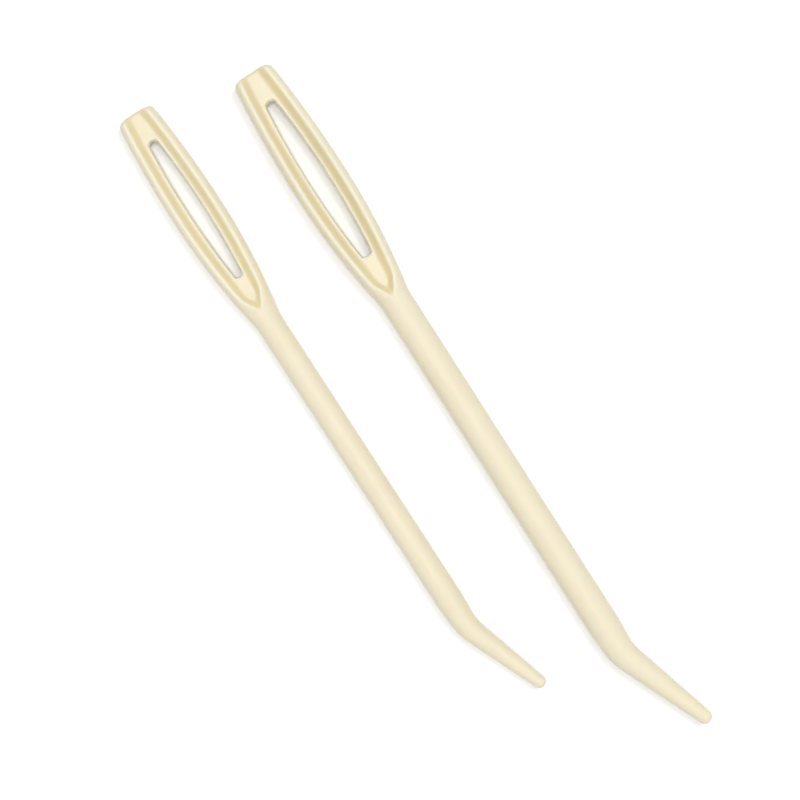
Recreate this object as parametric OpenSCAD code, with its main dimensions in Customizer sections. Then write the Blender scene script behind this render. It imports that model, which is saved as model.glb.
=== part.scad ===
// Pair of bent-tip yarn needles, a large and a small one, each moulded in one piece.
// A wide head with two round rims, a channel and a long eye runs into a round shaft with a bent, blunt tip.
// The needles lie side by side on z = 0 with their heads towards +Y, and their tips bend towards +X.

/* [Large needle] */
// From the head end to the corner of the bend
large_straight = 68.85; // [56:0.05:84]
// From the corner of the bend to the blunt point
large_tip = 11.1; // [9:0.1:15]
// Diameter of the shaft, and depth of the head
large_shaft_d = 3.15; // [2.7:0.05:3.6]
// Diameter of the tip where its round point begins
large_point_d = 1.4; // [1:0.05:2]
// Width of the head at its open end
large_end_w = 4.24; // [3.8:0.02:4.8]
// Width of the head where it is widest
large_head_w = 5.64; // [5.2:0.02:6.4]
// From the head end to the widest place
large_widest = 13.15; // [10:0.05:16]
// From the head end to the pointed end of the channel
large_channel_l = 26.4; // [22:0.1:32]
// From the pointed end of the channel to the plain shaft
large_runout_l = 1.05; // [0.8:0.05:4]
// From the outer edge of the head in to the crest of the rim
large_rim_crest = 0.65; // [0.5:0.01:0.75]
// From the outer edge of the head in to the foot of the channel wall
large_rim_w = 1.6; // [1.2:0.01:1.7]
// From the head end to the near end of the eye
large_eye_from = 3.3; // [2:0.05:6]
// From the far end of the eye to the pointed end of the channel
large_eye_land = 4.65; // [2.5:0.05:6]
// Width of the eye at its widest, at the faces
large_eye_w = 2.25; // [1.7:0.05:2.3]
// Width of the eye at its end near the head end
large_eye_near_w = 1.35; // [1.05:0.05:1.6]
// Width of the eye at its end near the shaft
large_eye_far_w = 1.4; // [0.9:0.05:1.6]

/* [Small needle] */
// From the head end to the corner of the bend
small_straight = 61.2; // [50:0.1:75]
// From the corner of the bend to the blunt point
small_tip = 9.7; // [8:0.1:13]
// Diameter of the shaft, and depth of the head
small_shaft_d = 2.67; // [2.3:0.01:3]
// Diameter of the tip where its round point begins
small_point_d = 1.25; // [0.9:0.05:1.8]
// Width of the head at its open end
small_end_w = 3.9; // [3.5:0.02:4.4]
// Width of the head where it is widest
small_head_w = 5.12; // [4.8:0.02:5.8]
// From the head end to the widest place
small_widest = 11.8; // [9:0.1:14]
// From the head end to the pointed end of the channel
small_channel_l = 23.4; // [20:0.1:29]
// From the pointed end of the channel to the plain shaft
small_runout_l = 2.1; // [0.8:0.05:4]
// From the outer edge of the head in to the crest of the rim
small_rim_crest = 0.62; // [0.5:0.01:0.75]
// From the outer edge of the head in to the foot of the channel wall
small_rim_w = 1.52; // [1.2:0.01:1.6]
// From the head end to the near end of the eye
small_eye_from = 3.2; // [2:0.05:6]
// From the far end of the eye to the pointed end of the channel
small_eye_land = 3.85; // [2.5:0.05:6]
// Width of the eye at its widest, at the faces
small_eye_w = 1.85; // [1.6:0.05:2]
// Width of the eye at its end near the head end
small_eye_near_w = 1.2; // [1.05:0.05:1.5]
// Width of the eye at its end near the shaft
small_eye_far_w = 1.1; // [0.9:0.05:1.4]

/* [Rims, channel and eye] */
// Thickness of the floor between the channels of the two faces
floor_t = 1.3; // [0.9:0.05:1.7]
// Length over which the rims close on the point of the channel
closing_l = 3.75; // [2.5:0.05:5]
// From the end of the floor to the point of the channel
floor_end_gap = 1.25; // [0.8:0.05:1.6]
// From where the channel begins to fade, to its point
fade_lead = 2.1; // [1:0.1:3]
// From the point of the channel to where its last trace ends
fade_l = 2.2; // [1.2:0.1:4]
// Radius of the corners of the eye near the head end
eye_near_corner_r = 0.5; // [0.25:0.05:0.55]
// Radius of the corners of the eye near the shaft
eye_far_corner_r = 0.4; // [0.25:0.05:0.45]
// How much closer the walls of the eye come halfway between the faces, on each side
eye_draft = 0.2; // [0:0.02:0.22]
// How far the head end curves back at its sides
end_bow = 0.26; // [0:0.02:0.5]
// Radius of the corners at the head end
corner_r = 0.3; // [0.2:0.05:0.8]
// Rounding of the ends of the rims at the head end
rim_end_r = 0.8; // [0.3:0.05:1]
// Rounding of the end of the floor at the head end
floor_end_r = 0.4; // [0.1:0.05:0.5]
// Radius of the hollow curve that leads the head into the shaft
neck_r = 9; // [4:0.5:16]

/* [Bend] */
// Angle of the bend
bend_angle = 20; // [10:0.5:35]
// Radius of the bend along the middle of the shaft
bend_r = 7; // [4:0.5:14]
// How far before the corner of the bend the needle begins to narrow
narrow_lead = 3; // [2.6:0.1:8]
// Length of the round point at the end of the tip
point_l = 0.6; // [0.4:0.05:0.9]

/* [Place of the pair] */
// From axis to axis, measured at the heads
pair_gap = 12.04; // [8:0.02:20]
// How far the small head end lies beyond the large one
pair_step = 2.91; // [-5:0.01:8]
// Turn of the small needle against the large one
pair_turn = 0.38; // [-1:0.01:1]

/* [Hidden] */

ivory = [0.97, 0.93, 0.81];
$fn = 96;

// Steps of the surfaces, counted along the needle and across a quarter of it
corner_steps = 5;
body_steps = 12;
closing_steps = 12;
fade_steps = 6;
bend_steps = 8;
point_steps = 5;
outer_steps = 6;
wall_steps = 6;
floor_steps = 2;
tip_sides = 44;
eye_side_steps = 8;
eye_corner_steps = 4;
quarter_steps = outer_steps + wall_steps + floor_steps;
// How much of an S the channel wall is, from 0 for a plain slope to 1 for one that starts and ends level
wall_round = 0.6;
// Towards the nose of the floor the rims take up this share less of the width
nose_gain = 0.1;
// The rims close on their point along a curve of this power, and the floor on its blunter nose
closing_power = 3;
nose_power = 8;
// Over this length from the head end the curve of the end face dies away
bow_l = 3;
// The channel keeps this share of its width past its point, so that no two points of a ring meet
least_share = 0.07;
// Where the crest of a rim comes to lie on the round shaft, as an angle up from its side
crest_turn = 86;
// How far the ends of the eye arch outwards
eye_end_arch = 0.05;
// How far the cutter of the eye stands proud of the faces
cut_proud = 1;
// The head and the tip reach this far into the shaft, a hair thinner than it is
spigot_l = 0.6;
hair = 0.01;

function mix(a, b, t) = a + (b - a) * t;
function share(t) = min(max(t, 0), 1);
function ease(t) = pow(share(t), 2) * (3 - 2 * share(t));
function sag(r, d) = r - sqrt(max(r * r - d * d, 0));

// The sizes of a needle, by its name
function pick(n, large, small) = n == "large" ? large : small;
function straight(n) = pick(n, large_straight, small_straight);
function tip(n) = pick(n, large_tip, small_tip);
function shaft_r(n) = pick(n, large_shaft_d, small_shaft_d) / 2;
function point_r(n) = pick(n, large_point_d, small_point_d) / 2;
function end_half(n) = pick(n, large_end_w, small_end_w) / 2;
function head_half(n) = pick(n, large_head_w, small_head_w) / 2;
function widest(n) = pick(n, large_widest, small_widest);
function channel_l(n) = pick(n, large_channel_l, small_channel_l);
function head_l(n) = channel_l(n) + pick(n, large_runout_l, small_runout_l);
function closing_from(n) = channel_l(n) - closing_l;
function floor_l(n) = channel_l(n) - floor_end_gap;
function fade_from(n) = channel_l(n) - fade_lead;
function fade_to(n) = max(channel_l(n) + fade_l, head_l(n));
function rim_crest(n) = pick(n, large_rim_crest, small_rim_crest);
function rim_w(n) = pick(n, large_rim_w, small_rim_w);
function eye_mid_half(n) = pick(n, large_eye_w, small_eye_w) / 2;
function eye_near_half(n) = pick(n, large_eye_near_w, small_eye_near_w) / 2;
function eye_far_half(n) = pick(n, large_eye_far_w, small_eye_far_w) / 2;
function eye_from(n) = pick(n, large_eye_from, small_eye_from);
function eye_to(n) = channel_l(n) - pick(n, large_eye_land, small_eye_land);

// Outline of the head: an arc from the end to the widest place, an arc from there
// towards the shaft, and a hollow arc that meets both it and the shaft without a corner
function rise(n) = head_half(n) - end_half(n);
function drop(n) = head_half(n) - shaft_r(n);
function back_l(n) = head_l(n) - widest(n);
function front_arc_r(n) = (pow(widest(n), 2) + pow(rise(n), 2)) / (2 * rise(n));
function arcs_r(n) = (pow(back_l(n), 2) + pow(drop(n), 2)) / (2 * drop(n));
function back_arc_r(n) = arcs_r(n) - neck_r;
function neck_from(n) = widest(n) + back_l(n) * back_arc_r(n) / arcs_r(n);
function arc_half(n, s) =
  s < widest(n) ? head_half(n) - sag(front_arc_r(n), widest(n) - s)
  : s < neck_from(n) ? head_half(n) - sag(back_arc_r(n), s - widest(n))
  : shaft_r(n) + (s < head_l(n) ? sag(neck_r, head_l(n) - s) : 0);
// Rounded off over r from the head end, as an edge of radius r would be
function end_round(r, s) = s < r ? sag(r, r - s) : 0;
function half_w(n, s) = arc_half(n, s) - end_round(corner_r, s);
function rim_top(n, s) = shaft_r(n) - end_round(rim_end_r, s);
function floor_top(s) = floor_t / 2 - end_round(floor_end_r, s);

// The channel: its rims close on a point, and its floor ends in a round nose before it
function closing(past, power) = sqrt(1 - pow(share(past), power));
function crest_half(n, s) =
  (half_w(n, s) - rim_crest(n))
  * max(closing((s - closing_from(n)) / closing_l, closing_power), least_share);
function foot_half(n, s) =
  let (
    past = share((s - closing_from(n)) / (closing_l - floor_end_gap)),
    open = (half_w(n, s) - rim_w(n) * (1 - nose_gain * past)) * closing(past, nose_power)
  )
  min(open, crest_half(n, s) * (1 - least_share));
function depth(n, s) =
  (rim_top(n, s) - floor_top(s)) * (1 - ease((s - floor_l(n)) / floor_end_gap));

function wall_drop(t) = mix(t, ease(t), wall_round);

// One point of a quarter of the head's cross-section at s from the head end
function head_pt(n, s, k) =
  let (
    crest = crest_half(n, s),
    foot = max(foot_half(n, s), crest * least_share),
    top = rim_top(n, s),
    rim_turn = 90 * share(k / outer_steps),
    wall_part = share((k - outer_steps) / wall_steps),
    floor_part = share((k - outer_steps - wall_steps) / floor_steps)
  )
  k <= outer_steps
  ? [crest + (half_w(n, s) - crest) * cos(rim_turn), top * sin(rim_turn)]
  : [mix(crest, foot, wall_part) * (1 - floor_part), top - depth(n, s) * wall_drop(wall_part)];
function shaft_turn(k) =
  k <= outer_steps
  ? crest_turn * k / outer_steps
  : mix(crest_turn, 90, (k - outer_steps) / (quarter_steps - outer_steps));
function shaft_pt(n, s, k) = [half_w(n, s) * cos(shaft_turn(k)), rim_top(n, s) * sin(shaft_turn(k))];
function quarter_pt(n, s, k) =
  mix(head_pt(n, s, k), shaft_pt(n, s, k), ease((s - fade_from(n)) / (fade_to(n) - fade_from(n))));
function spigot_pt(n, k) = (shaft_r(n) - hair) * [cos(shaft_turn(k)), sin(shaft_turn(k))];

// A ring round the whole cross-section, from the +X edge over the top and back along the bottom
function ring_of(q, along) =
  let (last = quarter_steps)
  concat(
    [for (k = [0:last]) [q[k].x, -along[k], q[k].y]],
    [for (k = [last - 1:-1:0]) [-q[k].x, -along[k], q[k].y]],
    [for (k = [1:last]) [-q[k].x, -along[k], -q[k].y]],
    [for (k = [last - 1:-1:1]) [q[k].x, -along[k], -q[k].y]]
  );
// Near the head end a ring isn't flat: its sides lie further back than its middle
function bowed(n, s, x) = s + end_bow * pow(x / end_half(n), 2) * (1 - ease(s / bow_l));
function head_ring(n, s) =
  let (q = [for (k = [0:quarter_steps]) quarter_pt(n, s, k)])
  ring_of(q, [for (p = q) bowed(n, s, p.x)]);
function spigot_ring(n, s) =
  ring_of([for (k = [0:quarter_steps]) spigot_pt(n, k)], [for (k = [0:quarter_steps]) s]);
function round_l() = max(corner_r, rim_end_r, floor_end_r);
function head_stations(n) = concat(
  [for (i = [0:corner_steps]) round_l() * (1 - cos(90 * i / corner_steps))],
  [for (i = [1:body_steps]) mix(round_l(), closing_from(n), i / body_steps)],
  [for (i = [1:closing_steps]) mix(closing_from(n), channel_l(n), sin(90 * i / closing_steps))],
  [for (i = [1:fade_steps - 1]) mix(channel_l(n), fade_to(n), i / fade_steps)]
);
function head_rings(n) = concat(
  [for (s = head_stations(n)) head_ring(n, s)],
  [for (s = [fade_to(n), fade_to(n) + spigot_l]) spigot_ring(n, s)]
);

// The bent tip: its middle line runs straight, turns along an arc and runs on straight,
// while its radius shrinks evenly from the shaft's to the point's
function bend_tangent() = bend_r * tan(bend_angle / 2);
function bend_arc() = bend_r * bend_angle * PI / 180;
function narrow_from(n) = straight(n) - narrow_lead;
function bend_from() = narrow_lead - bend_tangent();
function tip_l(n) = bend_from() + bend_arc() + tip(n) - bend_tangent();
function tip_turn(u) = bend_angle * share((u - bend_from()) / bend_arc());
function tip_mid(n, u) =
  let (a = tip_turn(u), before = min(u, bend_from()), past = max(u - bend_from() - bend_arc(), 0))
  [
    bend_r * (1 - cos(a)) + past * sin(a),
    -narrow_from(n) - before - bend_r * sin(a) - past * cos(a),
    0
  ];
function tip_r(n, u) =
  let (past = share((u - tip_l(n) + point_l) / point_l))
  mix(shaft_r(n) - hair, point_r(n), share(u / (tip_l(n) - point_l))) * sqrt(1 - past * past);
function tip_ring(n, u) = [
  for (k = [0:tip_sides - 1])
    let (a = 360 * k / tip_sides, t = tip_turn(u), r = tip_r(n, u))
    tip_mid(n, u) + r * [cos(a) * cos(t), cos(a) * sin(t), sin(a)]
];
function tip_stations(n) = concat(
  [-spigot_l, 0],
  [for (i = [0:bend_steps]) bend_from() + bend_arc() * i / bend_steps],
  [for (i = [0:point_steps - 1]) tip_l(n) - point_l * (1 - sin(90 * i / point_steps))]
);
function tip_rings(n) = [for (u = tip_stations(n)) tip_ring(n, u)];

// The pair's outer box, from the same points, so that the origin stays at the middle of its bottom
function in_pair(p, at, turn) =
  [at.x + p.x * cos(turn) - p.y * sin(turn), at.y + p.x * sin(turn) + p.y * cos(turn)];
function outer_pts(n, at, turn) = concat(
  [for (ring = head_rings(n)) for (p = ring) in_pair(p, at, turn)],
  [for (ring = tip_rings(n)) for (p = ring) in_pair(p, at, turn)],
  [in_pair(tip_mid(n, tip_l(n)), at, turn)]
);
large_at = [0, 0];
small_at = [-pair_gap, pair_step];
pair_pts = concat(outer_pts("large", large_at, 0), outer_pts("small", small_at, pair_turn));
pair_x = [for (p = pair_pts) p.x];
pair_y = [for (p = pair_pts) p.y];
middle = [(min(pair_x) + max(pair_x)) / 2, (min(pair_y) + max(pair_y)) / 2];

// A flat face over a ring that is the same above and below z = 0, in strips from top to bottom
function cap(count) =
  let (under = function(i) (count - i) % count)
  [
    for (i = [0:count / 2 - 1])
      each concat(
        i + 1 < count / 2 ? [[i, i + 1, under(i + 1)]] : [],
        i > 0 ? [[i, under(i + 1), under(i)]] : []
      )
  ];
function turned(faces, first) = [for (f = faces) [for (i = [2:-1:0]) first + f[i]]];

// A closed skin over rings of equal length; a point closes it at the far end, or else a flat face does
module skin(rings, point = undef) {
  count = len(rings[0]);
  last = len(rings) - 1;
  pts = [for (ring = rings) for (p = ring) p];
  sides = [
    for (i = [0:last - 1]) for (k = [0:count - 1])
      let (next = (k + 1) % count, a = i * count, b = a + count)
      each [[a + k, b + k, b + next], [a + k, b + next, a + next]]
  ];
  far = is_undef(point)
    ? turned(cap(count), last * count)
    : [for (k = [0:count - 1]) [last * count + k, len(pts), last * count + (k + 1) % count]];
  polyhedron(is_undef(point) ? pts : concat(pts, [point]), concat(cap(count), sides, far), convexity = 8);
}

module shaft(n) {
  translate([0, -fade_to(n), 0])
    rotate([90, 0, 0])
      cylinder(h = narrow_from(n) - fade_to(n), r = shaft_r(n));
}

// The eye: on each side a wide arc touches the corner arc of the near end and that of the far end.
// Each end's corner is told by its centre, sideways and along, its radius and how far the side arc's
// widest place lies outside that centre. Twice that less the radius, and the squares, give the side
// arc's radius as the root of a quadratic that says that it touches both corners.
function near_x(n) = eye_near_half(n) - eye_near_corner_r;
function far_x(n) = eye_far_half(n) - eye_far_corner_r;
function near_s(n) = eye_from(n) + eye_near_corner_r;
function far_s(n) = eye_to(n) - eye_far_corner_r;
function touch_0(n, x, r) = r * r - pow(eye_mid_half(n) - x, 2);
function touch_1(n, x, r) = 2 * (eye_mid_half(n) - x - r);
function reach_0(n) =
  let (span = far_s(n) - near_s(n))
  (touch_0(n, near_x(n), eye_near_corner_r) - touch_0(n, far_x(n), eye_far_corner_r) + span * span)
  / (2 * span);
function reach_1(n) =
  (touch_1(n, near_x(n), eye_near_corner_r) - touch_1(n, far_x(n), eye_far_corner_r))
  / (2 * (far_s(n) - near_s(n)));
function side_r(n) =
  let (
    a = pow(reach_1(n), 2),
    b = 2 * reach_0(n) * reach_1(n) - touch_1(n, near_x(n), eye_near_corner_r),
    c = pow(reach_0(n), 2) - touch_0(n, near_x(n), eye_near_corner_r)
  )
  2 * c / (sqrt(b * b - 4 * a * c) - b);
function mid_s(n) = near_s(n) + reach_0(n) + reach_1(n) * side_r(n);
function near_turn(n) = asin((mid_s(n) - near_s(n)) / (side_r(n) - eye_near_corner_r));
function far_turn(n) = asin((far_s(n) - mid_s(n)) / (side_r(n) - eye_far_corner_r));

// One half of the eye's outline moved inwards, from its near end round one side to its far end
function eye_half(n, inwards) = concat(
  [[0, -eye_from(n) + eye_end_arch - inwards]],
  [for (i = [0:eye_corner_steps - 1])
    let (a = mix(90, near_turn(n), i / eye_corner_steps), r = eye_near_corner_r - inwards)
    [near_x(n) + r * cos(a), -near_s(n) + r * sin(a)]],
  [for (i = [0:eye_side_steps])
    let (a = mix(near_turn(n), -far_turn(n), i / eye_side_steps), r = side_r(n) - inwards)
    [eye_mid_half(n) - side_r(n) + r * cos(a), -mid_s(n) + r * sin(a)]],
  [for (i = [1:eye_corner_steps])
    let (a = mix(far_turn(n), 90, i / eye_corner_steps), r = eye_far_corner_r - inwards)
    [far_x(n) + r * cos(a), -far_s(n) - r * sin(a)]],
  [[0, -eye_to(n) - eye_end_arch + inwards]]
);
function eye_ring(n, inwards, z) =
  let (half = eye_half(n, inwards))
  concat(
    [for (p = half) [p.x, p.y, z]],
    [for (i = [len(half) - 2:-1:1]) [-half[i].x, half[i].y, z]]
  );

module eye_cutter(n) {
  proud = shaft_r(n) + cut_proud;
  skin([
    eye_ring(n, 0, proud),
    eye_ring(n, 0, floor_t / 2),
    eye_ring(n, eye_draft, 0),
    eye_ring(n, 0, -floor_t / 2),
    eye_ring(n, 0, -proud)
  ]);
}

module needle(n) {
  difference() {
    union() {
      skin(head_rings(n));
      shaft(n);
      skin(tip_rings(n), tip_mid(n, tip_l(n)));
    }
    eye_cutter(n);
  }
}

module large_needle() {
  color(ivory)
    translate([large_at.x - middle.x, large_at.y - middle.y, shaft_r("large")])
      needle("large");
}

module small_needle() {
  color(ivory)
    translate([small_at.x - middle.x, small_at.y - middle.y, shaft_r("small")])
      rotate([0, 0, pair_turn])
        needle("small");
}

large_needle();
small_needle();
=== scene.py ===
# %% [markdown]
# # A pair of bent-tip yarn needles
#
# Two needles lie side by side on a white table: a large one and a slightly smaller one. Each is
# moulded in one piece from ivory plastic. The wide head has two round rims with a channel between
# them on each face, and a long eye goes through the floor of the channel. Behind the head comes a
# round shaft, and the shaft ends in a short bent tip with a blunt point.
#
# The engineering model already holds both needles at their real size, so it is loaded first and
# nothing in it is moved. Its faces are coarse, which shows in the highlights, so each needle gets
# a finer skin here, worked out from the same sizes.

# %% Load the frame
from types import SimpleNamespace

import bmesh
import bpy
import numpy as np
from mathutils import Matrix, Vector


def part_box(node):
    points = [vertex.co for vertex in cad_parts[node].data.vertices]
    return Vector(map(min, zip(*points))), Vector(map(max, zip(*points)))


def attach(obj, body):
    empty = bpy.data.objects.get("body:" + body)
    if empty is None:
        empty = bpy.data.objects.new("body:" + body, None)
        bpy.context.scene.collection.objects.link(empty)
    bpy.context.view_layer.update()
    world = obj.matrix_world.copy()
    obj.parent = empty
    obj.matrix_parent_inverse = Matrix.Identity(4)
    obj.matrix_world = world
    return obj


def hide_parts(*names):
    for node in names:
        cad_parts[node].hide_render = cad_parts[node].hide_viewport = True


# A millimetre in metres, the frame's unit
MM = 0.001

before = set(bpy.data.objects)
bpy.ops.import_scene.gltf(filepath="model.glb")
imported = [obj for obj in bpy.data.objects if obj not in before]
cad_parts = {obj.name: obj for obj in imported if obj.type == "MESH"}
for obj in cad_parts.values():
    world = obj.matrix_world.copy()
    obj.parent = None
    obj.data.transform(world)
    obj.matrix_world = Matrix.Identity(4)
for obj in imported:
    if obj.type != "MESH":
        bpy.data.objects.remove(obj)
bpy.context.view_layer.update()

# %% [markdown]
# ## The sizes of the two needles
#
# Every length is in millimetres and has a name, so that the shape below reads like a drawing.
# A dictionary of lists would do as well, but a namespace lets the formulas say `n.shaft_r`.
# Many sizes are the same on both needles, because both were drawn to one pattern.

# %% Sizes
LARGE = SimpleNamespace(
    straight=68.85, tip=11.1, shaft_r=1.575, point_r=0.7,
    end_half=2.12, head_half=2.82, widest=13.15,
    channel_l=26.4, runout_l=1.05, rim_crest=0.65, rim_w=1.6,
    eye_from=3.3, eye_land=4.65, eye_half=1.125, eye_near_half=0.675, eye_far_half=0.7,
)
SMALL = SimpleNamespace(
    straight=61.2, tip=9.7, shaft_r=1.335, point_r=0.625,
    end_half=1.95, head_half=2.56, widest=11.8,
    channel_l=23.4, runout_l=2.1, rim_crest=0.62, rim_w=1.52,
    eye_from=3.2, eye_land=3.85, eye_half=0.925, eye_near_half=0.6, eye_far_half=0.55,
)
# Head: how far its end bows, the roundings of that end, and the hollow arc at the neck
END_BOW, BOW_L, CORNER_R, RIM_END_R, FLOOR_END_R, NECK_R = 0.26, 3, 0.3, 0.8, 0.4, 9
# Channel: its floor and walls, the arch that closes it, and where the head turns into the shaft
FLOOR_T, FLOOR_END_GAP, NOSE_POWER, NOSE_GAIN, FOOT_GAP, WALL_ROUND = 1.3, 1.25, 8, 0.1, 0.02, 0.6
CLOSING_L, CLOSING_POWER, LEAST_SHARE, FADE_LEAD, FADE_L = 3.75, 3, 0.07, 2.1, 2.2
# Eye: the corners at its two ends, how far its walls lean in, and the lip at its edge
NEAR_CORNER_R, FAR_CORNER_R, EYE_DRAFT, LIP_R = 0.5, 0.4, 0.2, 0.08
# Tip: its bend, how long before the bend it starts to narrow, and the rounding of the point
BEND, BEND_R, NARROW_LEAD, POINT_L = np.radians(20), 7, 3, 0.6
# Parting line: height and width of the ridge, and how it fades at both ends
SEAM_H, SEAM_W, SEAM_FROM, SEAM_RISE_L, SEAM_END_L = 0.02, 0.05, 0.2, 0.6, 2
# Pair: how far the small head end lies to the left of the large one and beyond it, and its turn
PAIR_GAP, PAIR_STEP, PAIR_TURN = 12.04, 2.91, np.radians(0.38)

# The corner of the bend is where the two straight stretches would meet
BEND_TANGENT = BEND_R * np.tan(BEND / 2)
BEND_ARC = BEND_R * BEND
BEND_FROM = NARROW_LEAD - BEND_TANGENT

for n in (LARGE, SMALL):
    n.head_l = n.channel_l + n.runout_l
    n.closing_from = n.channel_l - CLOSING_L
    n.floor_l = n.channel_l - FLOOR_END_GAP
    n.fade_from, n.fade_to = n.channel_l - FADE_LEAD, max(n.channel_l + FADE_L, n.head_l)
    n.eye_to = n.channel_l - n.eye_land
    n.narrow_from = n.straight - NARROW_LEAD
    n.tip_l = BEND_FROM + BEND_ARC + n.tip - BEND_TANGENT
    n.length = n.narrow_from + n.tip_l
    print("needle of", round(n.length, 1), "mm along its middle line")

# %% [markdown]
# ## The outline of a head
#
# Seen from above, a head swells in one long arc from its open end to its widest place, narrows in
# a second arc, and meets the shaft in a short hollow one. A freehand curve could be drawn with
# Bezier handles, but circular arcs are what a mould maker cuts, and they meet here without a
# corner: the hollow arc's radius is taken off the radius of the arc before it.
#
# `sag` is the distance that a circle drops away from its top, which gives every arc its height.

# %% Curves that come back below
def sag(radius, away):
    """Radius minus the root of radius squared less away squared: how far a circle has dropped."""
    return radius - np.sqrt(np.maximum(radius**2 - np.square(away), 0))


def share(t):
    """t held between 0 and 1."""
    return np.clip(t, 0, 1)


def ease(t):
    """Three t squared less two t cubed, held between 0 and 1: it starts and ends level."""
    t = share(t)
    return t * t * (3 - 2 * t)


def mix(a, b, t):
    """a at t = 0, b at t = 1 and a straight line between them."""
    return a + (b - a) * t


print("a circle of 10 mm has dropped after 0, 3 and 6 mm:", sag(10, np.array([0, 3, 6])).round(2))


# %% Half width and half depth along a needle
def arc_half(n, s):
    """Half the width at s from the head end: front arc, back arc, hollow arc, then the shaft."""
    rise, drop, back_l = n.head_half - n.end_half, n.head_half - n.shaft_r, n.head_l - n.widest
    front_r = (n.widest**2 + rise**2) / (2 * rise)
    both_r = (back_l**2 + drop**2) / (2 * drop)
    back_r = both_r - NECK_R
    neck_from = n.widest + back_l * back_r / both_r
    return np.select(
        [s < n.widest, s < neck_from, s < n.head_l],
        [
            n.head_half - sag(front_r, n.widest - s),
            n.head_half - sag(back_r, s - n.widest),
            n.shaft_r + sag(NECK_R, n.head_l - s),
        ],
        n.shaft_r,
    )


def tip_share(n, s):
    """What the taper leaves of the shaft's radius, times the ellipse that rounds the point."""
    u = s - n.narrow_from
    round_off = share((u - n.tip_l + POINT_L) / POINT_L)
    taper = mix(1, n.point_r / n.shaft_r, share(u / (n.tip_l - POINT_L)))
    return taper * np.sqrt(1 - round_off**2)


def end_round(radius, s):
    """What a rounded edge of this radius takes away at s from the head end."""
    return np.where(s < radius, sag(radius, radius - s), 0)


def half_w(n, s):
    """The arcs, less the rounded corners of the head end, narrowed along the tip."""
    return (arc_half(n, s) - end_round(CORNER_R, s)) * tip_share(n, s)


def rim_top(n, s):
    """The rims are as deep as the shaft is thick, so their height is the shaft's radius."""
    return (n.shaft_r - end_round(RIM_END_R, s)) * tip_share(n, s)


def floor_top(s):
    """Half the floor's thickness, less its rounded edge at the head end."""
    return FLOOR_T / 2 - end_round(FLOOR_END_R, s)


every_4 = half_w(LARGE, np.arange(0, 30, 4.0))
print("half widths of the large head every 4 mm:", every_4.round(2))

# %% [markdown]
# ## Rims, channel and floor
#
# Cut across, each half of a head is a thick rim: an upright quarter of an ellipse on the outside,
# a narrow crest, and a wall that slopes down to the flat floor and is a little rounded at its top
# and foot. The two rims run together at the end of the channel, like the two sides of an arch,
# and the floor ends in a round nose just before.
#
# The section could be modelled by hand once and lofted, but then its crest would not follow the
# outline. Here the section is a formula of two numbers: `s` along the needle, and `q` across it,
# which counts 0 to 1 over the outside, 1 to 2 down the wall and 2 to 3 along the floor. Behind the
# channel the same formula melts into a circle for the shaft.
#
# The formula also gives a number that the finish reads later as painted light. It is above 0 down
# the walls, behind the nose of the floor and at the head end, where it paints shade into the
# colour, and below 0 along the crests, where it paints a highlight.
#
# Along the sides the skin stands out by a hair where the two halves of the mould met: a narrow
# bell curve of the height, which fades away at the head end and towards the point.

# %% A quarter of the cross-section
CREST_TURN = np.radians(86)
# Painted light: how far the painted shade reaches in from the head end, how wide the painted
# highlight along a crest is, and the part of the wall over which the painted shade behind the nose
# comes in
END_PAINTED_SHADE_L, CREST_HIGHLIGHT_W, NOSE_PAINTED_SHADE_FROM = 0.45, 0.16, 0.5


def closing(past, power):
    """Root of 1 less a power of past: it stays near 1 for long, then drops to 0 like an arch."""
    return np.sqrt(1 - share(past) ** power)


def quarter_section(n, s, q, inner):
    """Sideways and upward place of the skin at s and q, where the floor ends at inner.

    The outside is an ellipse from the edge to the crest, the wall a mix of a straight slope and
    an eased one, and both are mixed with a circle behind the channel.
    """
    w, t = half_w(n, s), rim_top(n, s)
    outer, wall, floor = share(q), share(q - 1), share(q - 2)

    closed = closing((s - n.closing_from) / CLOSING_L, CLOSING_POWER)
    crest = (w - n.rim_crest) * np.maximum(closed, LEAST_SHARE)
    past = share((s - n.closing_from) / (CLOSING_L - FLOOR_END_GAP))
    foot = (w - n.rim_w * (1 - NOSE_GAIN * past)) * closing(past, NOSE_POWER)
    foot = np.minimum(foot, crest * (1 - LEAST_SHARE))
    foot = np.maximum(foot, np.where(inner > 0, inner + FOOT_GAP, crest * LEAST_SHARE))
    depth = (t - floor_top(s)) * (1 - ease((s - n.floor_l) / FLOOR_END_GAP))

    turn = ease(outer) * np.pi / 2
    over_rim = q <= 1
    inside_x = mix(mix(crest, foot, wall), inner, floor)
    head_x = np.where(over_rim, crest + (w - crest) * np.cos(turn), inside_x)
    head_z = np.where(over_rim, t * np.sin(turn), t - depth * mix(wall, ease(wall), WALL_ROUND))

    inside_turn = mix(CREST_TURN, np.pi / 2, (wall + floor) / 2)
    shaft_turn = np.where(over_rim, ease(outer) * CREST_TURN, inside_turn)
    fade = ease((s - n.fade_from) / (n.fade_to - n.fade_from))
    x = mix(head_x, w * np.cos(shaft_turn), fade)
    z = mix(head_z, t * np.sin(shaft_turn), fade)

    seam = SEAM_H * np.exp(-((z / SEAM_W) ** 2)) * ease((s - SEAM_FROM) / SEAM_RISE_L)
    seam = seam * ease((n.length - s) / SEAM_END_L)
    # Painted shade down the walls, behind the floor's nose and at the head end, less a painted
    # highlight along the crests
    end, nose = share(1 - s / END_PAINTED_SHADE_L), share((s - n.floor_l) / FLOOR_END_GAP)
    recess_shade = np.maximum(np.sin(np.pi * wall), np.sin(np.pi * nose) * ease(wall / NOSE_PAINTED_SHADE_FROM))
    crest_highlight = np.exp(-(((q - 1) / CREST_HIGHLIGHT_W) ** 2)) * (1 - fade) * (1 - end)
    painted_shading = np.maximum(recess_shade * (1 - fade), end) - crest_highlight
    return x + seam * over_rim, z, np.broadcast_to(painted_shading, x.shape)


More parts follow.
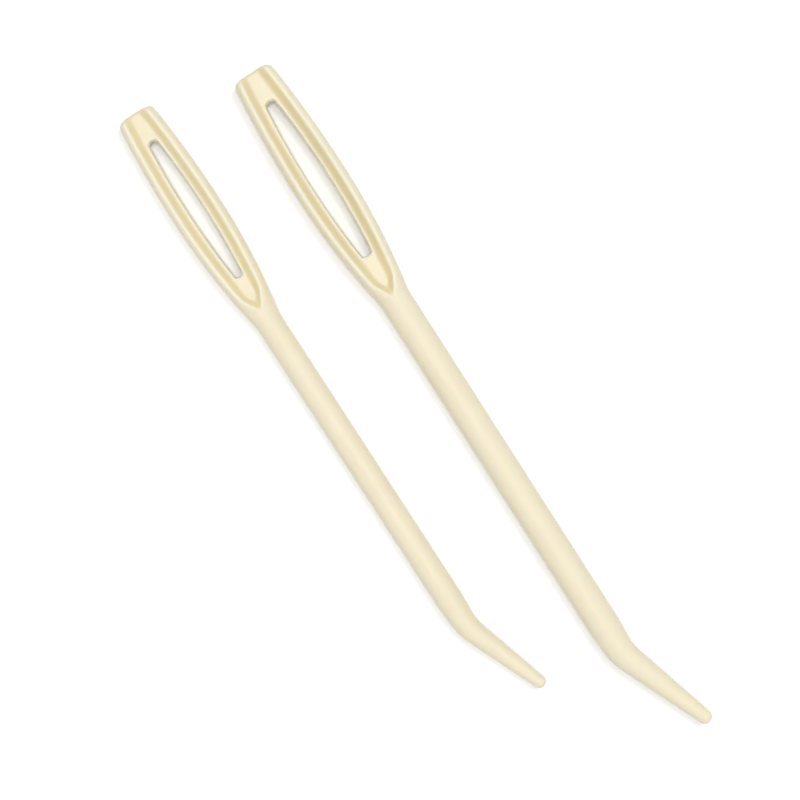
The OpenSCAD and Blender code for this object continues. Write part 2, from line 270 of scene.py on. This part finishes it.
cut_x, cut_z, _ = quarter_section(LARGE, np.array([[12.0]]), np.arange(4.0)[None, :], 0)
print("12 mm along, the edge, crest, foot and middle lie at", np.round(cut_x[0], 2), "mm sideways")
print("and at", np.round(cut_z[0], 2), "mm up")

# %% [markdown]
# ## The eye
#
# The eye is a long slot. Each side is one wide arc, and both ends are nearly straight across, with
# a rounded corner on either side that the arc runs into without a kink. Its walls lean in to
# halfway down, because two halves of a mould meet there, and a small lip softens its edge.
#
# A Boolean cut would leave that edge as sharp as a knife and break the even grid, so the grid is
# opened instead: the floor stops at the eye's outline, moved outwards by the lip, and a ring of
# lip and wall goes down through the hole from there. Every point of the outline is a centre plus
# a radius along a direction, so the outline moved outwards is the same formula with a longer
# radius.

# %% Outline of an eye
CORNER_STEPS, SIDE_STEPS, END_ARCH = 10, 56, 0.05


def eye_outline(n):
    """Centre, radius and direction along one half of the eye, from the near end to the far end.

    The side arc's radius is the root of the quadratic that says that it touches both corner arcs,
    and each end stands out in its middle by END_ARCH.
    """
    near_s, far_s = n.eye_from + NEAR_CORNER_R, n.eye_to - FAR_CORNER_R
    near_x, far_x = n.eye_near_half - NEAR_CORNER_R, n.eye_far_half - FAR_CORNER_R
    span = far_s - near_s
    near_0 = NEAR_CORNER_R**2 - (n.eye_half - near_x) ** 2
    near_1 = 2 * (n.eye_half - n.eye_near_half)
    far_0 = FAR_CORNER_R**2 - (n.eye_half - far_x) ** 2
    far_1 = 2 * (n.eye_half - n.eye_far_half)
    reach_0, reach_1 = (near_0 - far_0 + span**2) / (2 * span), (near_1 - far_1) / (2 * span)
    a, b, c = reach_1**2, 2 * reach_0 * reach_1 - near_1, reach_0**2 - near_0
    side_r = 2 * c / (np.sqrt(b * b - 4 * a * c) - b)
    mid_s = near_s + reach_0 + reach_1 * side_r
    near_turn = np.arcsin((mid_s - near_s) / (side_r - NEAR_CORNER_R))
    far_turn = np.arcsin((far_s - mid_s) / (side_r - FAR_CORNER_R))

    def stretch(x, along, radius, start, stop, steps, last=False):
        turns = np.linspace(start, stop, steps + 1)[: None if last else -1]
        return np.stack(np.broadcast_arrays(x, along, radius, turns), -1)

    return np.concatenate([
        stretch(0, near_s - END_ARCH, NEAR_CORNER_R, np.pi / 2, np.pi / 2, 1),
        stretch(near_x, near_s, NEAR_CORNER_R, np.pi / 2, near_turn, CORNER_STEPS),
        stretch(n.eye_half - side_r, mid_s, side_r, near_turn, -far_turn, SIDE_STEPS),
        stretch(far_x, far_s, FAR_CORNER_R, -far_turn, -np.pi / 2, CORNER_STEPS, last=True),
        stretch(0, far_s + END_ARCH, FAR_CORNER_R, -np.pi / 2, -np.pi / 2, 0, last=True),
    ]).T


def eye_points(outline, outwards):
    """The outline moved outwards: centre plus (radius + outwards) along the direction."""
    x, along, radius, turn = outline
    return x + (radius + outwards) * np.cos(turn), along - (radius + outwards) * np.sin(turn)


eye_x, eye_s = eye_points(eye_outline(LARGE), 0)
print("large eye: %.2f mm wide, from %.1f to %.1f mm" % (2 * eye_x.max(), eye_s[0], eye_s[-1]))

# %% [markdown]
# ## Rows along a needle
#
# A surface on a grid is only as smooth as its rows. They crowd where the shape turns quickly, at
# the rounded end, at the tips of the eye, in the bend and at the point, and are far apart on the
# plain shaft, where longer faces look just as round.

# %% Stations
END_STEPS, LAND_STEPS, CHANNEL_STEPS, FADE_STEPS, SHAFT_STEPS = 14, 10, 48, 19, 21
LEAD_STEPS, BEND_STEPS, TIP_STEPS, POINT_STEPS = 5, 24, 21, 14


def evenly(start, stop, steps):
    """Even steps from start to stop, without start itself, which ends the stretch before."""
    return np.linspace(start, stop, steps + 1)[1:]


def crowded(start, stop, steps, at_start=True):
    """Steps that follow a cosine or sine, so that they crowd at one end."""
    turn = np.linspace(0, np.pi / 2, steps + 1)
    return start + (stop - start) * ((1 - np.cos(turn)) if at_start else np.sin(turn))


def rows(n):
    """Every row's distance from the head end, and where the floor stops in it."""
    open_x, open_s = eye_points(eye_outline(n), LIP_R)
    open_x[[0, -1]] = 0
    before = np.concatenate([
        crowded(0, RIM_END_R, END_STEPS),
        evenly(RIM_END_R, open_s[0], LAND_STEPS)[:-1],
    ])
    behind = np.concatenate([
        crowded(open_s[-1], n.channel_l, CHANNEL_STEPS, at_start=False)[1:],
        evenly(n.channel_l, n.fade_to, FADE_STEPS),
        evenly(n.fade_to, n.narrow_from, SHAFT_STEPS),
        n.narrow_from + evenly(0, BEND_FROM, LEAD_STEPS),
        n.narrow_from + BEND_FROM + evenly(0, BEND_ARC, BEND_STEPS),
        n.narrow_from + evenly(BEND_FROM + BEND_ARC, n.tip_l - POINT_L, TIP_STEPS),
        n.length - POINT_L + crowded(0, POINT_L, POINT_STEPS, at_start=False)[1:],
    ])
    s = np.concatenate([before, open_s, behind])
    inner = np.concatenate([np.zeros_like(before), open_x, np.zeros_like(behind)])
    return s[:, None], inner[:, None]


print("rows:", [len(rows(n)[0]) for n in (LARGE, SMALL)])

# %% [markdown]
# ## The middle line and its bend
#
# The tip is bent sideways, in the plane of the table, by twenty degrees. A Curve modifier could
# bend a straight needle, but it also stretches it. Carrying each section along a middle line that
# runs straight, turns on an arc and runs straight again keeps every length true. The head end
# isn't quite square either: it bows, and its corners lie a little behind its middle.

# %% From section to space
def along_needle(n, s, x, z):
    """Middle line at s, plus x along its sideways direction, with z upwards, in millimetres."""
    s = s + END_BOW * (x / n.end_half) ** 2 * (1 - ease(s / BOW_L))
    u = s - n.narrow_from
    turn = BEND * share((u - BEND_FROM) / BEND_ARC)
    past = np.maximum(u - BEND_FROM - BEND_ARC, 0)
    mid_x = BEND_R * (1 - np.cos(turn)) + past * np.sin(turn)
    mid_y = -n.narrow_from - np.minimum(u, BEND_FROM) - BEND_R * np.sin(turn) - past * np.cos(turn)
    return np.stack(np.broadcast_arrays(mid_x + x * np.cos(turn), mid_y + x * np.sin(turn), z), -1)


point = along_needle(LARGE, LARGE.length, 0, 0)
print("the large needle's point, from the middle of its head end, in mm:", np.round(point, 2))

# %% [markdown]
# ## One closed skin
#
# A needle is the same on its left and right and on its top and bottom, up to the bend, so a
# quarter of the section is worked out once and turned over three times. The face at the head end
# and the wall of the eye are two more grids. Where grids meet, their points are the same, and
# merging them leaves one closed skin without seams.

# %% Grids of a needle
OVER_STEPS, WALL_STEPS, FLOOR_STEPS = 20, 12, 4
LIP_STEPS, EYE_WALL_STEPS, END_ROWS = 6, 4, 9
# Painted highlight on the eye's wall and lip, which lightens the shade that falls there, as on a
# crest
EYE_PAINTED_SHADING, LIP_PAINTED_SHADING = -0.9, -0.4


def needle_grids(n):
    """A list of (points, painted shading) pairs: four quarters, two halves of the end, two of the
    eye.
    """
    s, inner = rows(n)
    q = np.concatenate([
        np.linspace(0, 1, OVER_STEPS + 1),
        np.linspace(1, 2, WALL_STEPS + 1)[1:],
        np.linspace(2, 3, FLOOR_STEPS + 1)[1:],
    ])[None, :]
    x, z, painted_shading = quarter_section(n, s, q, inner)
    grids = [
        (along_needle(n, s, side * x, face * z), painted_shading)
        for side in (1, -1)
        for face in (1, -1)
    ]

    up = np.linspace(-1, 1, END_ROWS)[:, None]
    for side in (1, -1):
        end = along_needle(n, np.zeros((1, 1)), side * x[:1], up * z[:1])
        # The whole end face gets painted shade
        grids.append((end, np.ones(end.shape[:2])))

    turn = np.linspace(0, np.pi / 2, LIP_STEPS + 1)
    lip, drop = LIP_R * (1 - np.sin(turn)), FLOOR_T / 2 - LIP_R * (1 - np.cos(turn))
    wall = np.linspace(drop[-1], -drop[-1], EYE_WALL_STEPS + 1)[1:-1]
    height = np.concatenate([drop, wall, -drop[::-1]])[None, :]
    out = np.concatenate([lip, np.zeros_like(wall), lip[::-1]])[None, :]
    # Painted highlight on the eye's wall, a little less on its lip
    lip_painted_shading = mix(EYE_PAINTED_SHADING, LIP_PAINTED_SHADING, out / LIP_R)
    out = out - EYE_DRAFT * (1 - abs(height) / (FLOOR_T / 2))
    eye_x, eye_s = eye_points(eye_outline(n)[:, :, None], out)
    for side in (1, -1):
        ring = along_needle(n, eye_s, side * eye_x, height)
        grids.append((ring, np.broadcast_to(lip_painted_shading, eye_x.shape)))
    return grids


print("grids of the large needle:", [grid.shape[:2] for grid, _ in needle_grids(LARGE)])

# %% [markdown]
# The grids become one mesh. `foreach_set` hands Blender whole arrays at once, which is much
# quicker than a loop over points. Merging also closes the point of the tip and both sides of the
# end face, where a row or a column of a grid shrinks to one point.

# %% Put the grids in one mesh
def mesh_of(name, grids, place):
    """Quads of every grid; place turns millimetres on the needle into metres in the frame."""
    points, painted_shading, quads, first = [], [], [], 0
    for grid, shade in grids:
        height, width = grid.shape[:2]
        at = first + np.arange(height * width).reshape(height, width)
        corners = [at[:-1, :-1], at[1:, :-1], at[1:, 1:], at[:-1, 1:]]
        quads.append(np.stack(corners, -1).reshape(-1, 4))
        points.append(grid.reshape(-1, 3))
        painted_shading.append(shade.ravel())
        first += height * width
    points = place(np.concatenate(points))
    painted_shading, quads = np.concatenate(painted_shading), np.concatenate(quads)

    mesh = bpy.data.meshes.new(name)
    mesh.vertices.add(len(points))
    mesh.vertices.foreach_set("co", points.astype(np.float32).ravel())
    mesh.loops.add(quads.size)
    mesh.loops.foreach_set("vertex_index", quads.astype(np.int32).ravel())
    mesh.polygons.add(len(quads))
    mesh.polygons.foreach_set("loop_start", np.arange(0, quads.size, 4, dtype=np.int32))
    mesh.update(calc_edges=True)
    # The painted shade and highlight go on the mesh as an attribute of its points
    painted_shading_layer = mesh.attributes.new("painted_shading", "FLOAT", "POINT")
    painted_shading_layer.data.foreach_set("value", painted_shading.astype(np.float32))
    return mesh


# %% Sew the mesh closed
MERGE = 1e-7


def sewn(mesh):
    """Merge the points that grids share, turn every face outwards and make a smooth object."""
    skin = bmesh.new()
    skin.from_mesh(mesh)
    bmesh.ops.remove_doubles(skin, verts=skin.verts, dist=MERGE)
    bmesh.ops.recalc_face_normals(skin, faces=skin.faces)
    gaps = sum(not e.is_manifold for e in skin.edges)
    volume = skin.calc_volume(signed=True) / MM**3
    triangles = sum(len(f.verts) - 2 for f in skin.faces)
    skin.to_mesh(mesh)
    skin.free()
    mesh.polygons.foreach_set("use_smooth", np.ones(len(mesh.polygons), dtype=bool))
    mesh.update()
    print(f"{mesh.name}: {triangles} triangles, {gaps} open edges, {volume:.1f} cubic mm")

    piece = bpy.data.objects.new(mesh.name, mesh)
    bpy.context.scene.collection.objects.link(piece)
    return piece


# %% [markdown]
# ## Lay both needles where the frame has them
#
# The large needle lies along the frame's own Y axis, so its box gives its middle line at once. The
# small one is a few millimetres to the left and above, and a third of a degree askew, as dropped
# by hand. Its place is worked into its points and its object stays at the origin, so that patterns
# which follow object coordinates stay where they are. Each skin stands for its node of the frame
# and rides on the same body.

# %% The two needles
def laid(at, turn, height):
    """Turn about the head end, then move it to `at`, with the middle line at `height`."""
    spin = np.array([[np.cos(turn), -np.sin(turn), 0], [np.sin(turn), np.cos(turn), 0], [0, 0, 1]])
    return lambda points: (points @ spin.T + [*at, height]) * MM


large_lo, large_hi = (np.array(corner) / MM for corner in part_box("large_needle"))
large_at = np.array([large_lo[0] + LARGE.head_half, large_hi[1]])
small_at = large_at + [-PAIR_GAP, PAIR_STEP]

large_laid, small_laid = laid(large_at, 0, LARGE.shaft_r), laid(small_at, PAIR_TURN, SMALL.shaft_r)
large_skin = sewn(mesh_of("large_needle_skin", needle_grids(LARGE), large_laid))
small_skin = sewn(mesh_of("small_needle_skin", needle_grids(SMALL), small_laid))

for skin, node in ((large_skin, "large_needle"), (small_skin, "small_needle")):
    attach(skin, node)
    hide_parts(node)
    co = np.empty(len(skin.data.vertices) * 3, np.float32)
    skin.data.vertices.foreach_get("co", co)
    co = co.reshape(-1, 3)
    lo, hi = (np.array(corner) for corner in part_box(node))
    off = np.round(np.concatenate([co.min(0) - lo, co.max(0) - hi]) / MM, 3)
    print(node, "skin less frame in mm, low corner and high corner:", off)

# %% [markdown]
# ## Shader maths in plain Python
#
# Node trees are easier to read as sums than as a tangle of wires. `Wire` stands for one output of
# a node, and adding or multiplying wires makes the Math nodes. Every other node comes from
# `Finish.node`, which takes the node's type, its settings and what goes into its sockets.

# %% Wires and finishes
class Wire:
    """One output socket that can stand in a Python expression."""

    def __init__(self, finish, socket):
        self.finish, self.socket = finish, socket

    def _math(self, operation, a, b):
        return self.finish.node("ShaderNodeMath", {"operation": operation}, {0: a, 1: b})

    def __add__(self, other):
        return self._math("ADD", self, other)

    def __sub__(self, other):
        return self._math("SUBTRACT", self, other)

    def __rsub__(self, other):
        return self._math("SUBTRACT", other, self)

    def __mul__(self, other):
        return self._math("MULTIPLY", self, other)

    __radd__ = __add__

    def above(self):
        """The value where it is above 0, and 0 elsewhere."""
        return self._math("MAXIMUM", self, 0)


class Finish:
    """A material, or the world, under construction."""

    def __init__(self, made):
        made.use_nodes = True
        self.made, self.tree = made, made.node_tree
        self.tree.nodes.clear()

    def node(self, kind, settings=None, inputs=None, out=0):
        """A node of this type, its settings made first and then its sockets, as a wire."""
        made = self.tree.nodes.new(kind)
        for key, value in (settings or {}).items():
            setattr(made, key, value)
        for key, value in (inputs or {}).items():
            if isinstance(value, Wire):
                self.tree.links.new(value.socket, made.inputs[key])
            else:
                made.inputs[key].default_value = value
        return Wire(self, made.outputs[out]) if made.outputs else made

    def noise(self, at, scale, detail=2.0):
        """Soft noise between 0 and 1, with one blob to every 1 / scale metres."""
        inputs = {"Vector": at, "Scale": scale, "Detail": detail}
        return self.node("ShaderNodeTexNoise", inputs=inputs)

    def colour_mix(self, factor, a, b):
        """Colour a where the factor is 0, and b where it is 1."""
        return self.node("ShaderNodeMix", {"data_type": "RGBA"}, {0: factor, 6: a, 7: b}, out=2)


# %% [markdown]
# ## Ivory plastic
#
# The needles are dyed through, a warm ivory with a satin skin. Light goes a little way in, so the
# edges of the rims look soft rather than painted. On a close look the colour isn't even: it
# clouds slowly along the needle, where the melt flowed. Shade is also painted into the colour down
# the walls of the channel and at the head end, and a painted highlight makes it paler along the
# crests of the rims and in the eyes.
#
# One flat colour would look like a drawing. A scanned picture would show seams on a bent shape.
# Noise on object coordinates has no seams, an attribute of the skins says where shade and highlight
# are painted on the walls and crests, and one finish does for both needles.

# %% Plastic of the needles
IVORY = (0.89, 0.805, 0.60, 1)
PALE_IVORY = (0.915, 0.845, 0.665, 1)
# Painted shade for the walls, the floor's nose and the head end, and painted highlight for the
# crests and the eyes
PAINTED_SHADE_IVORY = (0.80, 0.69, 0.37, 1)
PAINTED_HIGHLIGHT_IVORY = (0.98, 0.93, 0.77, 1)
# Blobs of noise to the metre, and how much of that number is left lengthwise in the flow lines
CLOUDS, FLOW, GRAIN, FLOW_STRETCH = 110, 900, 5200, 0.22
# How far the colour goes from ivory to pale ivory: a part of each noise, less a little
PALE_BY_CLOUDS, PALE_BY_FLOW, PALE_LESS = 0.8, 0.3, 0.05
# How much painted shade and painted highlight go on where the painted shading is 1 or -1
PAINTED_SHADE_SHARE, PAINTED_HIGHLIGHT_SHARE = 0.7, 0.9
ROUGH, ROUGH_BY_CLOUDS, ROUGH_BY_GRAIN = 0.44, 0.08, 0.06
# The bumps' height is in metres
BUMP, BUMP_BY_GRAIN, BUMP_BY_FLOW, BUMP_H = 0.35, 0.6, 0.8, 0.00002
# Light inside the plastic: how much goes in, how far in metres, and that distance's part per colour
LIGHT_IN, LIGHT_REACH, LIGHT_RGB = 0.5, 0.0008, (1.0, 0.8, 0.45)
IOR, SHINE = 1.49, 0.3


def ivory_plastic():
    """The finish of both needles: three noises make its colour, gloss and bumps; painted shade and
    highlight tint the colour.
    """
    f = Finish(bpy.data.materials.new("ivory_plastic_satin"))
    at = f.node("ShaderNodeTexCoord", out=3)
    flow_at = f.node("ShaderNodeMapping", {}, {"Vector": at, "Scale": (1, FLOW_STRETCH, 1)})
    clouds = f.noise(at, CLOUDS)
    flow = f.noise(flow_at, FLOW, detail=3)
    grain = f.noise(at, GRAIN)
    painted_shading = f.node("ShaderNodeAttribute", {"attribute_name": "painted_shading"}, out=2)

    pale = clouds * PALE_BY_CLOUDS + flow * PALE_BY_FLOW - PALE_LESS
    colour = f.colour_mix(pale, IVORY, PALE_IVORY)
    # Painted shade where the attribute is above 0, painted highlight where it is below 0
    colour = f.colour_mix(painted_shading.above() * PAINTED_SHADE_SHARE, colour, PAINTED_SHADE_IVORY)
    colour = f.colour_mix((0 - painted_shading).above() * PAINTED_HIGHLIGHT_SHARE, colour, PAINTED_HIGHLIGHT_IVORY)
    rough = ROUGH + clouds * ROUGH_BY_CLOUDS + grain * ROUGH_BY_GRAIN
    height = grain * BUMP_BY_GRAIN + flow * BUMP_BY_FLOW
    bumps = f.node("ShaderNodeBump", {}, {
        "Strength": BUMP, "Distance": BUMP_H, "Height": height,
    })
    surface = f.node("ShaderNodeBsdfPrincipled", {}, {
        "Base Color": colour, "Roughness": rough, "Normal": bumps,
        "IOR": IOR, "Specular IOR Level": SHINE,
        "Subsurface Weight": LIGHT_IN, "Subsurface Scale": LIGHT_REACH,
        "Subsurface Radius": LIGHT_RGB,
    })
    f.node("ShaderNodeOutputMaterial", {}, {"Surface": surface})
    return f.made


plastic = ivory_plastic()
for skin in (large_skin, small_skin):
    skin.data.materials.clear()
    skin.data.materials.append(plastic)
print("finish:", plastic.name, "with", len(plastic.node_tree.nodes), "nodes")

# %% [markdown]
# ## A white table
#
# The needles lie on plain white paper that shows no edge, with only a thin soft shadow beside
# them. Brighter lamps would turn it white but would bleach the ivory too. So the paper is a plain
# matte white, which also throws light up under the rims, and to the camera, and in reflections,
# it glows a little by itself on top. The shadow stays, because the glow is added to the lit paper
# and doesn't take its place.

# %% Floor
# In metres: half the side of the table, and how far its top lies under the needles
FLOOR_HALF, FLOOR_DROP = 1.5, 0.00001
PAPER = (0.92, 0.92, 0.92, 1)
WHITE = (1, 1, 1, 1)
GLOW = 0.12


def seen_directly(f):
    """1 for rays from the camera, a mirror or glass, and 0 for the light that falls on things."""
    kinds = ("Is Camera Ray", "Is Glossy Ray", "Is Transmission Ray")
    camera, mirror, through = (f.node("ShaderNodeLightPath", out=kind) for kind in kinds)
    return camera + mirror + through


def white_paper():
    """Matte white that glows a little by itself for the camera and in reflections."""
    f = Finish(bpy.data.materials.new("white_paper"))
    grey = f.node("ShaderNodeBsdfDiffuse", {}, {"Color": PAPER})
    strength = seen_directly(f) * GLOW
    glow = f.node("ShaderNodeEmission", {}, {"Color": WHITE, "Strength": strength})
    both = f.node("ShaderNodeAddShader", {}, {0: grey, 1: glow})
    f.node("ShaderNodeOutputMaterial", {}, {"Surface": both})
    return f.made


square = np.array([[-1, -1, 0], [1, -1, 0], [1, 1, 0], [-1, 1, 0]])
sheet = bpy.data.meshes.new("table")
sheet.from_pydata((square * FLOOR_HALF - [0, 0, FLOOR_DROP]).tolist(), [], [(0, 1, 2, 3)])
sheet.materials.append(white_paper())
table = bpy.data.objects.new("table", sheet)
bpy.context.scene.collection.objects.link(table)
print("table:", 2 * FLOOR_HALF, "m wide, its top at", round(-FLOOR_DROP / MM, 3), "mm")

# %% [markdown]
# ## Camera
#
# The picture was taken from straight above, with the needles running down to the right. A
# parallel camera would hide the walls of the eye and the head end, which show a little at the
# edges of the picture, so it is a long lens 22 centimetres up, turned by about a third of a right
# angle. It looks at a point between the needles, given here from the large head end.

# %% Camera from above
# Focal length, sensor width, width of what is seen and the point looked at, in millimetres
LENS, SENSOR, FRAME_W = 100, 36, 80
LOOK_AT = (-5.04, -35.53)
PICTURE_UP = Vector((0.5391, 0.8423, 0))

camera_up = FRAME_W * LENS / SENSOR
camera_data = bpy.data.cameras.new("camera")
camera_data.lens, camera_data.sensor_width = LENS, SENSOR
camera_data.clip_start, camera_data.clip_end = 0.01, 10
camera = bpy.data.objects.new("camera", camera_data)
picture_right = PICTURE_UP.cross(Vector((0, 0, 1)))
facing = Matrix((picture_right, PICTURE_UP, (0, 0, 1))).transposed().to_4x4()
target = Vector((large_at[0] + LOOK_AT[0], large_at[1] + LOOK_AT[1], LARGE.shaft_r)) * MM
camera.matrix_world = Matrix.Translation(target + Vector((0, 0, camera_up * MM))) @ facing
bpy.context.scene.collection.objects.link(camera)
bpy.context.scene.camera = camera
print("camera at", [round(v / MM, 2) for v in camera.location], "mm")

# %% [markdown]
# ## Light
#
# The light is that of a product picture: white all round, with a soft lamp straight above, which
# lights both sides of a rim alike and shines through the eyes. A weaker lamp stands towards the
# upper right of the picture and puts the thin shadow on the lower left, and a wide, faint one
# opposite keeps the far sides of the rims from going dull. World and lamps together light a level
# surface at about 1, so a colour renders much as it is written. The world shows as white behind
# the table's far edge and in reflections, but lights the needles only as strongly as WORLD says.

# %% World and lamps
WORLD = 0.36
# How far the lamps are away, in metres
LAMP_FAR = 2
# Degrees from the picture's upper right over the top, width in metres, watts
LAMPS = {"top_lamp": (90, 0.56, 15.2), "side_lamp": (70, 0.4, 9.4), "fill_lamp": (145, 1.2, 2.4)}


def white_room():
    """White air that shows at full strength and lights things at the strength WORLD."""
    f = Finish(bpy.data.worlds.new("white_room"))
    strength = seen_directly(f) * (1 - WORLD) + WORLD
    air = f.node("ShaderNodeBackground", {}, {"Color": WHITE, "Strength": strength})
    f.node("ShaderNodeOutputWorld", {}, {"Surface": air})
    return f.made


bpy.context.scene.world = white_room()

upper_right = (picture_right + PICTURE_UP).normalized()
for name, (degrees, size, watts) in LAMPS.items():
    over = np.radians(degrees)
    towards = upper_right * np.cos(over) + Vector((0, 0, np.sin(over)))
    lamp_data = bpy.data.lights.new(name, "AREA")
    lamp_data.shape, lamp_data.size, lamp_data.energy = "SQUARE", size, watts
    lamp = bpy.data.objects.new(name, lamp_data)
    lamp.location = target + towards * LAMP_FAR
    lamp.rotation_euler = towards.to_track_quat("Z", "Y").to_euler()
    bpy.context.scene.collection.objects.link(lamp)
    print(name, "at", [round(v / MM) for v in lamp.location], "mm")
bpy.context.scene.view_settings.view_transform = "Standard"
